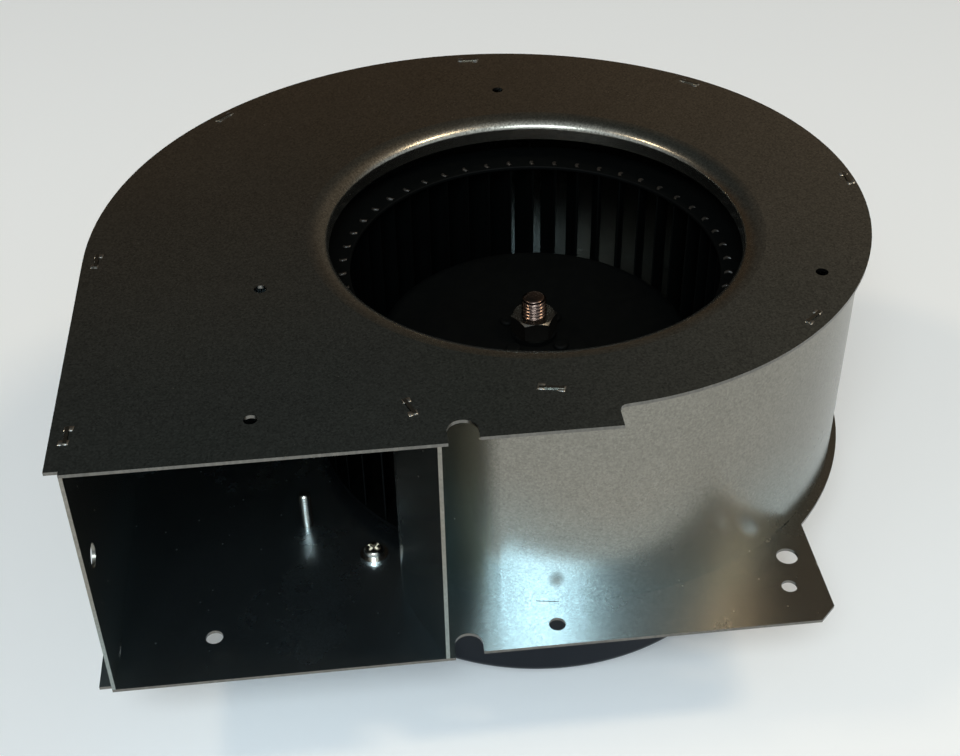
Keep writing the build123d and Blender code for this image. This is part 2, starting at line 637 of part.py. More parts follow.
def make_stator_windings():
    low = STATOR_BOTTOM - WINDING_GAP - WINDING_HEIGHT
    high = STATOR_TOP + WINDING_GAP + WINDING_HEIGHT
    lower = ring(WINDING_OUTER, WINDING_INNER, low, low + WINDING_HEIGHT)
    upper = ring(WINDING_OUTER, WINDING_INNER, high - WINDING_HEIGHT, high)
    lower = fillet(lower.edges().group_by(Axis.Z)[0], 2.0)
    upper = fillet(upper.edges().group_by(Axis.Z)[-1], 2.0)
    side = SLOT_WIDTH - 2 * WINDING_GAP
    reach = SLOT_OUTER - SLOT_INNER - 2 * WINDING_GAP
    bar = block(0, reach, -side / 2, side / 2, low + WINDING_HEIGHT / 2, high - WINDING_HEIGHT / 2)
    coils = lower + upper
    for piece in around(bar, SLOT_INNER + WINDING_GAP, slot_angles()):
        coils += piece
    return coils


def bar_angles():
    return [360.0 / ROTOR_BARS * step for step in range(ROTOR_BARS)]


def bar_pitch():
    return ROTOR_RADIUS - ROTOR_BAR_RADIUS - 1.2


def make_rotor_core():
    face = Circle(ROTOR_RADIUS) - Circle(SHAFT_RADIUS)
    for hole in around(Circle(ROTOR_BAR_RADIUS), bar_pitch(), bar_angles()):
        face -= hole
    return extrude(Plane.XY.offset(STATOR_BOTTOM) * face, amount=STATOR_LENGTH)


def make_rotor_cage():
    lower = ring(ROTOR_RADIUS, END_RING_INNER, STATOR_BOTTOM - END_RING_HEIGHT, STATOR_BOTTOM)
    upper = ring(ROTOR_RADIUS, END_RING_INNER, STATOR_TOP, STATOR_TOP + END_RING_HEIGHT)
    cage = lower + upper
    bar = disc(ROTOR_BAR_RADIUS, STATOR_BOTTOM - 1, STATOR_TOP + 1)
    for piece in around(bar, bar_pitch(), bar_angles()):
        cage += piece
    return cage


def make_motor_shaft():
    thread_start = NUT_LOW + WHEEL_NUT[1]
    thread_end = SHAFT_TOP - SHAFT_DOME
    plain = disc(SHAFT_RADIUS, SHAFT_BOTTOM, thread_start)
    plain = chamfer(plain.edges().group_by(Axis.Z)[0], 0.5)
    stub = threaded(SHAFT_RADIUS, thread_start, thread_end, 1.25, 0.6)
    nose_radius = SHAFT_RADIUS - 0.8
    nose = disc(nose_radius, thread_end - 0.5, SHAFT_TOP)
    nose = fillet(nose.edges().group_by(Axis.Z)[-1], SHAFT_DOME)
    groove_low = LOWER_BEARING_LOW - 1.0
    shaft = plain + stub + nose
    return shaft - ring(SHAFT_RADIUS + 1, SHAFT_RADIUS - 0.35, groove_low, groove_low + 0.9)


def make_shaft_circlip():
    low = LOWER_BEARING_LOW - 0.9
    clip = ring(SHAFT_RADIUS + 1.5, SHAFT_RADIUS - 0.35, low, low + 0.75)
    return clip - block(0, 10, -2.2, 2.2, low - 1, low + 2)


# ---------------------------------------------------------------- bearings
def race(outer, inner, low):
    """A bearing ring with its ball groove."""
    groove = Pos(0, 0, low + BEARING_WIDTH / 2) * Torus(BALL_PITCH, BALL_RADIUS + RACE_CLEARANCE)
    return ring(outer, inner, low, low + BEARING_WIDTH) - groove


def ball_angles():
    return [360.0 / BALL_COUNT * step for step in range(BALL_COUNT)]


def make_balls(low):
    ball = Pos(0, 0, low + BEARING_WIDTH / 2) * Sphere(BALL_RADIUS)
    return Compound(around(ball, BALL_PITCH, ball_angles()))


def make_ball_cage(low):
    middle = low + BEARING_WIDTH / 2
    cage = ring(BALL_PITCH + CAGE_WALL / 2, BALL_PITCH - CAGE_WALL / 2,
                middle - CAGE_WIDTH / 2, middle + CAGE_WIDTH / 2)
    pocket = Pos(0, 0, middle) * Cylinder(BALL_RADIUS + 0.15, 4 * CAGE_WALL, rotation=(0, 90, 0))
    for hole in around(pocket, BALL_PITCH, ball_angles()):
        cage -= hole
    return cage


def make_preload_washer():
    """A spring washer under the lower bearing's outer ring, pressed flat."""
    low = LOWER_BEARING_LOW - 0.5
    return ring(BEARING_RADIUS - 0.2, OUTER_SHOULDER, low, LOWER_BEARING_LOW)


# ---------------------------------------------------------------- wheel
def make_hub_spacer():
    return ring(SPACER_RADIUS, SHAFT_RADIUS, UPPER_BEARING_LOW + BEARING_WIDTH, HUB_LOW)


def rivet_angles():
    return [360.0 / RIVET_COUNT * (step + 0.5) for step in range(RIVET_COUNT)]


def make_impeller_hub():
    hub = ring(HUB_RADIUS, SHAFT_RADIUS, HUB_LOW, DISH_LOW)
    hub = chamfer(hub.edges().group_by(Axis.Z)[0].sort_by(SortBy.LENGTH)[-1], 0.8)
    for hole in around(disc(RIVET_RADIUS, HUB_LOW - 1, DISH_TOP), RIVET_PITCH, rivet_angles()):
        hub -= hole
    return hub


def make_hub_rivets():
    shank = disc(RIVET_RADIUS, HUB_LOW, DISH_TOP + 0.2)
    head = disc(RIVET_HEAD[0], DISH_TOP, DISH_TOP + RIVET_HEAD[1])
    head = fillet(head.edges().group_by(Axis.Z)[-1], RIVET_HEAD[1] * 0.8)
    return Compound(around(shank + head, RIVET_PITCH, rivet_angles()))


def make_impeller_back_plate():
    slope = (DISH_FOOT_RADIUS - DISH_TOP_RADIUS) / (DISH_TOP - BLADE_LOW)
    side = WHEEL_SHEET * (sqrt(1 + slope ** 2) - slope)
    upper = FilletPolyline((SHAFT_RADIUS, DISH_TOP), (DISH_TOP_RADIUS, DISH_TOP),
                           (DISH_FOOT_RADIUS, BLADE_LOW), (WHEEL_RADIUS, BLADE_LOW),
                           radius=[DISH_BEND, DISH_BEND - WHEEL_SHEET])
    lower = FilletPolyline((SHAFT_RADIUS, DISH_LOW), (DISH_TOP_RADIUS - side, DISH_LOW),
                           (DISH_FOOT_RADIUS - side, WHEEL_LOW), (WHEEL_RADIUS, WHEEL_LOW),
                           radius=[DISH_BEND - WHEEL_SHEET, DISH_BEND])
    bore_end = Line((SHAFT_RADIUS, DISH_LOW), (SHAFT_RADIUS, DISH_TOP))
    rim_end = Line((WHEEL_RADIUS, WHEEL_LOW), (WHEEL_RADIUS, BLADE_LOW))
    profile = make_face(upper.edges() + lower.edges() + [bore_end, rim_end])
    plate = revolve(Plane.XZ * profile, axis=Axis.Z)
    for hole in around(disc(RIVET_RADIUS, DISH_LOW - 1, DISH_TOP + 1), RIVET_PITCH, rivet_angles()):
        plate -= hole
    return plate


def blade_face():
    """One forward-curved blade in plan, its hollow side leading."""
    root = Vector(BLADE_INNER + 0.3, 0)
    tip = Vector(WHEEL_RADIUS - 0.3, 0).rotate(Axis.Z, BLADE_SWEEP)
    chord = (tip - root).normalized()
    side = Vector(chord.Y, -chord.X)
    middle = (root + tip) * 0.5 + side * BLADE_BULGE
    half = side * (BLADE_THICKNESS / 2)
    trailing = ThreePointArc(root + half, middle + half, tip + half)
    leading = ThreePointArc(root - half, middle - half, tip - half)
    return make_face([trailing, leading, Line(root + half, root - half), Line(tip + half, tip - half)])


def make_impeller_blades():
    blade = extrude(Plane.XY.offset(BLADE_LOW) * blade_face(), amount=BLADE_HEIGHT)
    lower = ring(WHEEL_RADIUS, BLADE_INNER, BLADE_LOW, BLADE_LOW + BAND)
    upper = ring(WHEEL_RADIUS, BLADE_INNER, BLADE_TOP - BAND, BLADE_TOP)
    angles = [360.0 / BLADE_COUNT * step for step in range(BLADE_COUNT)]
    return lower + [upper] + around(blade, 0, angles)


def make_impeller_front_ring():
    edge = ring(WHEEL_RADIUS, BLADE_INNER - 0.8, BLADE_TOP, BLADE_TOP + FRONT_RING)
    return fillet(edge.edges().group_by(Axis.Z)[-1], FRONT_RING * 0.4)


def make_lock_washer():
    radius, thickness = LOCK_WASHER
    washer = ring(radius, SHAFT_RADIUS, DISH_TOP, NUT_LOW)
    split = Rot(0, 0, 200) * Rot(20, 0, 0) * Box(3 * radius, LOCK_WASHER_SPLIT, 6 * thickness,
                                                 align=(Align.MIN, Align.CENTER, Align.CENTER))
    return washer - Pos(0, 0, DISH_TOP + thickness / 2) * split


def make_impeller_nut():
    return hex_nut(WHEEL_NUT[0], WHEEL_NUT[1], SHAFT_RADIUS, NUT_LOW)


# ---------------------------------------------------------------- all pieces
PIECES = {
    "inlet_plate": make_inlet_plate,
    "scroll_wall": make_scroll_wall,
    "motor_plate": make_motor_plate,
    "motor_cover": make_motor_cover,
    "cover_screws": make_cover_screws,
    "cover_nuts": make_cover_nuts,
    "earth_screw": make_earth_screw,
    "earth_tab": make_earth_tab,
    "cable_grommet": make_cable_grommet,
    "terminal_block": make_terminal_block,
    "terminal_screws": make_terminal_screws,
    "motor_leads": make_motor_leads,
    "motor_gasket": make_motor_gasket,
    "upper_end_bell": make_upper_end_bell,
    "lower_end_bell": make_lower_end_bell,
    "motor_screws": make_motor_screws,
    "motor_nuts": make_motor_nuts,
    "stator_core": make_stator_core,
    "stator_windings": make_stator_windings,
    "upper_bearing_outer_ring": lambda: race(BEARING_RADIUS, OUTER_SHOULDER, UPPER_BEARING_LOW),
    "lower_bearing_outer_ring": lambda: race(BEARING_RADIUS, OUTER_SHOULDER, LOWER_BEARING_LOW),
    "preload_washer": make_preload_washer,
    "motor_shaft": make_motor_shaft,
    "rotor_core": make_rotor_core,
    "rotor_cage": make_rotor_cage,
    "upper_bearing_inner_ring": lambda: race(INNER_SHOULDER, SHAFT_RADIUS, UPPER_BEARING_LOW),
    "lower_bearing_inner_ring": lambda: race(INNER_SHOULDER, SHAFT_RADIUS, LOWER_BEARING_LOW),
    "shaft_circlip": make_shaft_circlip,
    "hub_spacer": make_hub_spacer,
    "impeller_hub": make_impeller_hub,
    "impeller_back_plate": make_impeller_back_plate,
    "hub_rivets": make_hub_rivets,
    "impeller_blades": make_impeller_blades,
    "impeller_front_ring": make_impeller_front_ring,
    "lock_washer": make_lock_washer,
    "impeller_nut": make_impeller_nut,
    "upper_bearing_balls": lambda: make_balls(UPPER_BEARING_LOW),
    "upper_bearing_cage": lambda: make_ball_cage(UPPER_BEARING_LOW),
    "lower_bearing_balls": lambda: make_balls(LOWER_BEARING_LOW),
    "lower_bearing_cage": lambda: make_ball_cage(LOWER_BEARING_LOW),
}

os.makedirs("parts", exist_ok=True)
for name, make in PIECES.items():
    export_step(make(), f"parts/{name}.step")
    print(name)
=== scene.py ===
# %% [markdown]
# # A combustion fan in folded zinc sheet
# This notebook dresses an imported CAD model of a boiler's combustion fan. The CAD part gives every
# piece its place and size. Here each piece gets a finish, and the small workmanship that CAD leaves out:
# staked tabs, rolled blade tongues, the shaft's thread, the grain of the zinc. The frame comes first. It
# is loaded once and never moved.

# %% Load the frame
import bpy
import bmesh
import json
import math
import random
from mathutils import Euler, Matrix, Vector


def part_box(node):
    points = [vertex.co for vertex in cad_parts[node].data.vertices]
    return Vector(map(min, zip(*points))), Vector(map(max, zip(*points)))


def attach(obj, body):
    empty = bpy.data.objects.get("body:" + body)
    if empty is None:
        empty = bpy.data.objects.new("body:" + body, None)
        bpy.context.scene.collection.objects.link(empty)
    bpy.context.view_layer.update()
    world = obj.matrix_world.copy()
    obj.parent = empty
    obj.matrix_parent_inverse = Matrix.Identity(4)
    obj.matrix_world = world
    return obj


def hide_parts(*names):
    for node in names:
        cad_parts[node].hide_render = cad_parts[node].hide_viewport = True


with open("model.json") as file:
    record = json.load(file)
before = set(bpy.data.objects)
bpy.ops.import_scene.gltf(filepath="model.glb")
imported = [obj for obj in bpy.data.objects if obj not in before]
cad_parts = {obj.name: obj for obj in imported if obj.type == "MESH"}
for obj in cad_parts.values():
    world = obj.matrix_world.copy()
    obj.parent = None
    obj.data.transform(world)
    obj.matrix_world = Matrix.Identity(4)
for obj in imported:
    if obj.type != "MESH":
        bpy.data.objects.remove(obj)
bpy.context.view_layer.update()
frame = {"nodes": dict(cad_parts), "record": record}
NODES = frame["nodes"]
MM = 0.001

# %% [markdown]
# The levels and radii that the finishing work needs are read from the CAD boxes. The plates are
# flat, so the box of the motor plate gives the outlet's floor, and the box of the inlet plate gives
# the top. The wheel's parts are turned round the shaft, which stands on the frame's own Z axis.

# %% Levels read from the frame
PLATE_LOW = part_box("motor_plate")[0].z
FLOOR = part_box("motor_plate")[1].z
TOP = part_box("inlet_plate")[1].z
SHEET = FLOOR - PLATE_LOW
ROOF = TOP - SHEET
SHAFT_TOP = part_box("motor_shaft")[1].z
WHEEL_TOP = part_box("impeller_front_ring")[1].z
print("floor", round(FLOOR, 4), "roof", round(ROOF, 4), "shaft end", round(SHAFT_TOP, 4))

# %% [markdown]
# The camera stands in front of the fan, a little to the left of the shaft, and looks down on it.
# Its place is given from the shaft axis and the outlet's floor. The heading, the tilt and the small
# lean are turned in that order, because that is how a hand-held camera moves.

# %% Camera
CAMERA_PLACE = Vector((-0.0546, -0.3766, 0.3164))
CAMERA_TILT = math.radians(38.03)
CAMERA_HEADING = math.radians(5.60)
CAMERA_LEAN = math.radians(-1.05)
CAMERA_LENS = 54.88
camera_data = bpy.data.cameras.new("view_camera")
camera_data.sensor_width = 36.0
camera_data.lens = CAMERA_LENS
camera_data.clip_start = 0.01
camera = bpy.data.objects.new("view_camera", camera_data)
bpy.context.scene.collection.objects.link(camera)
turn = Euler((math.pi / 2 - CAMERA_TILT, 0, -CAMERA_HEADING)).to_matrix().to_4x4()
lean = Matrix.Rotation(CAMERA_LEAN, 4, "Z")
camera.matrix_world = Matrix.Translation(CAMERA_PLACE + Vector((0, 0, FLOOR))) @ turn @ lean
bpy.context.scene.camera = camera
print("camera at", [round(v, 3) for v in camera.matrix_world.translation])

# %% [markdown]
# Materials are written as small graphs of nodes. Two helpers keep the writing short. `wire` adds a
# node to a tree, sets plain values on its sockets and links whatever is a socket already. `effect`
# makes an empty node group with named inputs and outputs, ready to be filled. An effect that
# several finishes share is made once as such a group, and each finish gives it its own numbers.

# %% Node helpers
def wire(tree, kind, values=None, **settings):
    """Add a node; values maps input names or numbers to plain values or to sockets to link."""
    node = tree.nodes.new("ShaderNode" + kind)
    for key, value in settings.items():
        setattr(node, key, value)
    for key, value in (values or {}).items():
        socket = node.inputs[key]
        if isinstance(value, bpy.types.NodeSocket):
            tree.links.new(value, socket)
        else:
            socket.default_value = value
    return node


def effect(name, inputs, outputs):
    """An empty node group: inputs maps names to default numbers or colours."""
    group = bpy.data.node_groups.new(name, "ShaderNodeTree")
    for label, default in inputs.items():
        kind = "NodeSocketFloat" if isinstance(default, (int, float)) else "NodeSocketColor"
        socket = group.interface.new_socket(label, in_out="INPUT", socket_type=kind)
        socket.default_value = default
    for label, kind in outputs.items():
        group.interface.new_socket(label, in_out="OUTPUT", socket_type="NodeSocket" + kind)
    start = group.nodes.new("NodeGroupInput")
    end = group.nodes.new("NodeGroupOutput")
    return group, start.outputs, end.inputs


def place_effect(tree, group, **values):
    """Place a shared effect in a material, with its own values (underscores stand for spaces)."""
    node = tree.nodes.new("ShaderNodeGroup")
    node.node_tree = group
    for key, value in values.items():
        socket = node.inputs[key.replace("_", " ")]
        if isinstance(value, bpy.types.NodeSocket):
            tree.links.new(value, socket)
        else:
            socket.default_value = value
    return node.outputs


def math_node(tree, operation, first, second=0.0, clamp=False):
    """One arithmetic step; first and second are numbers or sockets."""
    node = wire(tree, "Math", {0: first, 1: second}, operation=operation, use_clamp=clamp)
    return node.outputs[0]


def mix_colours(tree, factor, first, second, blend="MIX"):
    """Blend two colours by a factor."""
    node = wire(tree, "Mix", {"Factor": factor}, data_type="RGBA", blend_type=blend)
    for index, value in ((6, first), (7, second)):
        socket = node.inputs[index]
        if isinstance(value, bpy.types.NodeSocket):
            tree.links.new(value, socket)
        else:
            socket.default_value = value
    return node.outputs[2]


def step_between(tree, value, low, high):
    """A smooth ramp from 0 at low to 1 at high."""
    node = wire(tree, "MapRange", {"Value": value, "From Min": low, "From Max": high},
                interpolation_type="SMOOTHSTEP")
    return node.outputs["Result"]


def noise(tree, scale, detail=2.0, roughness=0.5, vector=None, distortion=0.0):
    """Plain noise in the part's own coordinates, in features per metre."""
    values = {"Scale": scale, "Detail": detail, "Roughness": roughness, "Distortion": distortion}
    if vector is not None:
        values["Vector"] = vector
    return wire(tree, "TexNoise", values).outputs["Fac"]


def rgba(red, green, blue):
    return (red, green, blue, 1.0)


def new_material(name):
    """A material with its Principled shader, its tree, and the part's own coordinates."""
    material = bpy.data.materials.new(name)
    material.use_nodes = True
    tree = material.node_tree
    shader = tree.nodes["Principled BSDF"]
    place = tree.nodes.new("ShaderNodeTexCoord").outputs["Object"]
    return material, tree, shader, place


# %% [markdown]
# Zinc-coated sheet has three kinds of texture at three sizes. The coating itself is a fine grain,
# well under a millimetre, that glints unevenly. Over some centimetres the brightness drifts, where
# the sheet was oiled, wiped or handled. And there are single pale specks of dust and tiny nicks.
# One group, `zinc skin`, makes all three, so that every sheet piece has the same metal in it.

# %% Effect: zinc skin
def make_zinc_skin():
    group, source, result = effect(
        "zinc skin",
        {"Grain Size": 1600.0, "Grain": 0.5, "Drift": 0.5, "Specks": 0.5},
        {"Tone": "Float", "Gloss Shift": "Float", "Specks": "Float", "Height": "Float"})
    place = group.nodes.new("ShaderNodeTexCoord").outputs["Object"]
    fine = wire(group, "TexNoise", {"Vector": place, "Scale": source["Grain Size"], "Detail": 3.0,
                                    "Roughness": 0.65}).outputs["Fac"]
    flake = wire(group, "TexVoronoi", {"Vector": place, "Scale": 1900.0, "Randomness": 1.0},
                 feature="F1").outputs["Color"]
    flake_tone = wire(group, "RGBToBW", {"Color": flake}).outputs["Val"]
    slow = noise(group, 21.0, 4.0, 0.55, place, 0.6)
    middle = noise(group, 140.0, 3.0, 0.6, place)
    grain = math_node(group, "ADD", math_node(group, "MULTIPLY", fine, 0.65),
                      math_node(group, "MULTIPLY", flake_tone, 0.35))
    grain = math_node(group, "SUBTRACT", grain, 0.5)
    grain = math_node(group, "MULTIPLY", grain, source["Grain"])
    drift = math_node(group, "ADD", math_node(group, "MULTIPLY", slow, 0.7),
                      math_node(group, "MULTIPLY", middle, 0.3))
    drift = math_node(group, "SUBTRACT", drift, 0.5)
    drift = math_node(group, "MULTIPLY", drift, source["Drift"])
    tone = math_node(group, "ADD", 1.0, math_node(group, "ADD", grain, drift))
    dots = wire(group, "TexVoronoi", {"Vector": place, "Scale": 260.0}, feature="F1").outputs
    near = step_between(group, dots["Distance"], 0.085, 0.03)
    dot_tone = wire(group, "RGBToBW", {"Color": dots["Color"]}).outputs[0]
    chosen = math_node(group, "GREATER_THAN", dot_tone, 0.72)
    specks = math_node(group, "MULTIPLY", math_node(group, "MULTIPLY", near, chosen), source["Specks"])
    for label, value in (("Tone", tone), ("Gloss Shift", drift), ("Specks", specks), ("Height", fine)):
        group.links.new(value, result[label])
    return group


ZINC_SKIN = make_zinc_skin()
print("effect:", ZINC_SKIN.name)

# %% [markdown]
# Where the sheet is sheared, the zinc is cut through and the steel edge shows as a thin line of
# plain grey. The edge faces of a flat plate are the ones whose normal lies level, so the mask is
# made from the height of the normal. The bellmouth's throat also has level normals, and it isn't a
# cut, so the mask fades out inside a given radius from the shaft.

# %% Effect: sheared edge
def make_sheared_edge():
    group, source, result = effect(
        "sheared edge",
        {"Inner Radius": 0.075, "Low": 0.0, "High": 1.0},
        {"Mask": "Float", "Streak": "Float"})
    geometry = group.nodes.new("ShaderNodeNewGeometry")
    place = group.nodes.new("ShaderNodeTexCoord").outputs["Object"]
    facing = wire(group, "SeparateXYZ", {0: geometry.outputs["True Normal"]}).outputs
    level = math_node(group, "ABSOLUTE", facing["Z"])
    side = step_between(group, level, 0.5, 0.3)
    spot = wire(group, "SeparateXYZ", {0: place}).outputs
    flat = wire(group, "CombineXYZ", {"X": spot["X"], "Y": spot["Y"]}).outputs[0]
    radius = wire(group, "VectorMath", {0: flat}, operation="LENGTH").outputs["Value"]
    outside = math_node(group, "GREATER_THAN", radius, source["Inner Radius"])
    above = math_node(group, "GREATER_THAN", spot["Z"], source["Low"])
    below = math_node(group, "LESS_THAN", spot["Z"], source["High"])
    mask = math_node(group, "MULTIPLY", math_node(group, "MULTIPLY", side, outside),
                     math_node(group, "MULTIPLY", above, below))
    stretched = wire(group, "Mapping", {"Vector": place, "Scale": (900.0, 900.0, 60.0)}).outputs[0]
    streak = noise(group, 1.0, 2.0, 0.6, stretched)
    group.links.new(mask, result["Mask"])
    group.links.new(streak, result["Streak"])
    return group


SHEARED_EDGE = make_sheared_edge()

# %% [markdown]
# The housing's three sheet pieces share one function for their finish. It starts from two colours that
# drift into each other across the piece, a painted reflection of the room's light and shade, adds the
# zinc skin, then lays the sheared edge over it. The metal is fully metallic: its tone comes from what it
# mirrors as much as from its colour.

# %% Finish: zinc sheet
BELLMOUTH_OUTER = 0.075         # level normals inside this radius belong to the bellmouth


def zinc_sheet(name, front, back, gloss, skin, edge_levels, slope=(0.0, 1.0, 0.0), span=(-0.1, 0.1)):
    """Zinc sheet whose colour drifts along a slope as a painted reflection; skin is (grain size, grain,
    drift, specks).
    """
    material, tree, shader, place = new_material(name)
    # Painted reflection: the base colour drifts between the two given tones along the slope.
    along = wire(tree, "VectorMath", {0: place, 1: slope}, operation="DOT_PRODUCT").outputs["Value"]
    swing = math_node(tree, "SUBTRACT", noise(tree, 9.0, 2.0, 0.5, place), 0.5)
    wander = math_node(tree, "MULTIPLY", swing, 0.08)
    drift = step_between(tree, math_node(tree, "ADD", along, wander), span[0], span[1])
    base = mix_colours(tree, drift, front, back)
    grain_size, grain, patches, specks = skin
    metal = place_effect(tree, ZINC_SKIN, Grain_Size=grain_size, Grain=grain, Drift=patches,
                         Specks=specks)
    toned = mix_colours(tree, 1.0, base, metal["Tone"], "MULTIPLY")
    dusty = mix_colours(tree, metal["Specks"], toned, rgba(0.55, 0.55, 0.52))
    low, high = edge_levels
    edge = place_effect(tree, SHEARED_EDGE, Inner_Radius=BELLMOUTH_OUTER, Low=low, High=high)
    bare = mix_colours(tree, edge["Streak"], rgba(0.10, 0.10, 0.095), rgba(0.24, 0.23, 0.21))
    tree.links.new(mix_colours(tree, edge["Mask"], dusty, bare), shader.inputs["Base Color"])
    shader.inputs["Metallic"].default_value = 1.0
    rough = math_node(tree, "ADD", gloss, math_node(tree, "MULTIPLY", metal["Gloss Shift"], 0.16))
    rough = math_node(tree, "ADD", rough, math_node(tree, "MULTIPLY", metal["Specks"], 0.3), clamp=True)
    tree.links.new(rough, shader.inputs["Roughness"])
    bump = wire(tree, "Bump", {"Strength": 0.12, "Distance": 0.00006, "Height": metal["Height"]})
    tree.links.new(bump.outputs["Normal"], shader.inputs["Normal"])
    return material


# %% [markdown]
# The three sheets differ in the light their colours paint in. The inlet plate looks darkest because it
# mirrors the dark room; its colour is bluer at the front and a little brown towards the back, a painted
# reflection of the room's cool front and warm back. The wall is a little lighter and bluer low down, a
# painted reflection of the pale floor, and browner towards its top. The motor plate has the palest,
# bluest colour, a painted reflection of the cool window in front, and drifts to brown on its right.
# Slopes and spans are directions and places in the fan's own frame.

# %% The three sheet finishes
# Painted reflection: the cool, pale tone of each pair stands for the front light and pale floor that the
# sheet mirrors.
inlet_zinc = zinc_sheet("zinc sheet, inlet plate", rgba(0.30, 0.34, 0.34), rgba(0.40, 0.37, 0.31),
                        0.27, (1500.0, 1.7, 0.20, 0.35), (ROOF - SHEET * 0.2, TOP + SHEET))
wall_zinc = zinc_sheet("zinc sheet, scroll wall", rgba(0.27, 0.31, 0.30), rgba(0.25, 0.24, 0.21),
                       0.27, (1300.0, 0.9, 0.24, 0.12), (0.0, 0.001), (0.0, 0.0, 1.0),
                       (FLOOR + 0.004, FLOOR + 0.045))
plate_zinc = zinc_sheet("zinc sheet, motor plate", rgba(0.46, 0.55, 0.60), rgba(0.33, 0.31, 0.27),
                        0.27, (1400.0, 0.7, 0.28, 0.2), (0.0, 1.0), (1.0, 0.0, 0.0), (-0.005, 0.06))
print("zinc finishes: 3")

# %% [markdown]
# All the other finishes share one more effect, `handling`. It gives a slow tone drift, a fine
# grain, and a little dust that settles on faces that look up. Each finish sets how much of each it
# has, and adds only what is its own: rings of turning marks on ground steel, the stack lines of
# laminations, the winding lines of a coil.

# %% Effect: handling
def make_handling():
    group, source, result = effect(
        "handling", {"Drift": 0.3, "Grain": 0.2, "Grain Size": 900.0, "Dust": 0.1},
        {"Tone": "Float", "Dust": "Float", "Gloss Shift": "Float", "Height": "Float"})
    place = group.nodes.new("ShaderNodeTexCoord").outputs["Object"]
    slow = noise(group, 60.0, 3.0, 0.55, place)
    fine = wire(group, "TexNoise", {"Vector": place, "Scale": source["Grain Size"],
                                    "Detail": 3.0}).outputs["Fac"]
    drift = math_node(group, "MULTIPLY", math_node(group, "SUBTRACT", slow, 0.5), source["Drift"])
    grain = math_node(group, "MULTIPLY", math_node(group, "SUBTRACT", fine, 0.5), source["Grain"])
    tone = math_node(group, "ADD", 1.0, math_node(group, "ADD", drift, grain))
    normal = group.nodes.new("ShaderNodeNewGeometry").outputs["Normal"]
    facing = wire(group, "SeparateXYZ", {0: normal}).outputs["Z"]
    settled = step_between(group, facing, 0.6, 0.98)
    patchy = step_between(group, noise(group, 300.0, 4.0, 0.7, place), 0.42, 0.72)
    dust = math_node(group, "MULTIPLY", math_node(group, "MULTIPLY", settled, patchy), source["Dust"])
    for label, value in (("Tone", tone), ("Dust", dust), ("Gloss Shift", drift), ("Height", fine)):
        group.links.new(value, result[label])
    return group


HANDLING = make_handling()
print("effect:", HANDLING.name)

# %% [markdown]
# One function gives every other finish: enamel, lacquer, plated screws, copper, cast metal. It could be
# a function for each, but they differ only in colour, gloss and wear, so one list of numbers shows at a
# glance how they compare. The wheel's black is painted far darker than real lacquer and its mirror-like
# part is turned down, as painted shade for the housing's dark inside. The cup's enamel also has its
# mirror-like part turned down.

# %% Finish: everything that isn't sheet
def common_finish(name, colour, metallic, gloss, wear=(0.3, 0.2, 900.0, 0.05), relief=0.05,
                  lines=None, second=None):
    """One colour with shared wear; wear is (drift, grain, grain size, dust), and lines is
    (axis, lines per metre, depth) of fine parallel marks."""
    material, tree, shader, place = new_material(name)
    drift, grain, grain_size, dust = wear
    worn = place_effect(tree, HANDLING, Drift=drift, Grain=grain, Grain_Size=grain_size, Dust=dust)
    base = colour
    height = worn["Height"]
    if lines:
        axis, pitch, depth = lines
        spot = wire(tree, "SeparateXYZ", {0: place}).outputs[axis]
        phase = math_node(tree, "MULTIPLY", spot, 2 * math.pi * pitch)
        wave = wire(tree, "Math", {0: phase}, operation="SINE")
        marks = step_between(tree, wave.outputs[0], -1.0, 1.0)
        height = math_node(tree, "ADD", height, math_node(tree, "MULTIPLY", marks, depth))
        base = mix_colours(tree, marks, second or colour, colour)
    elif second:
        patches = step_between(tree, noise(tree, 180.0, 3.0, 0.5, place), 0.4, 0.62)
        base = mix_colours(tree, patches, colour, second)
    toned = mix_colours(tree, 1.0, base, worn["Tone"], "MULTIPLY")
    dusty = mix_colours(tree, worn["Dust"], toned, rgba(0.36, 0.34, 0.31))
    tree.links.new(dusty, shader.inputs["Base Color"])
    shader.inputs["Metallic"].default_value = metallic
    rough = math_node(tree, "ADD", gloss, math_node(tree, "MULTIPLY", worn["Gloss Shift"], 0.2))
    rough = math_node(tree, "ADD", rough, math_node(tree, "MULTIPLY", worn["Dust"], 0.5), clamp=True)
    tree.links.new(rough, shader.inputs["Roughness"])
    bump = wire(tree, "Bump", {"Strength": relief, "Distance": 0.0001, "Height": height})
    tree.links.new(bump.outputs["Normal"], shader.inputs["Normal"])
    return material


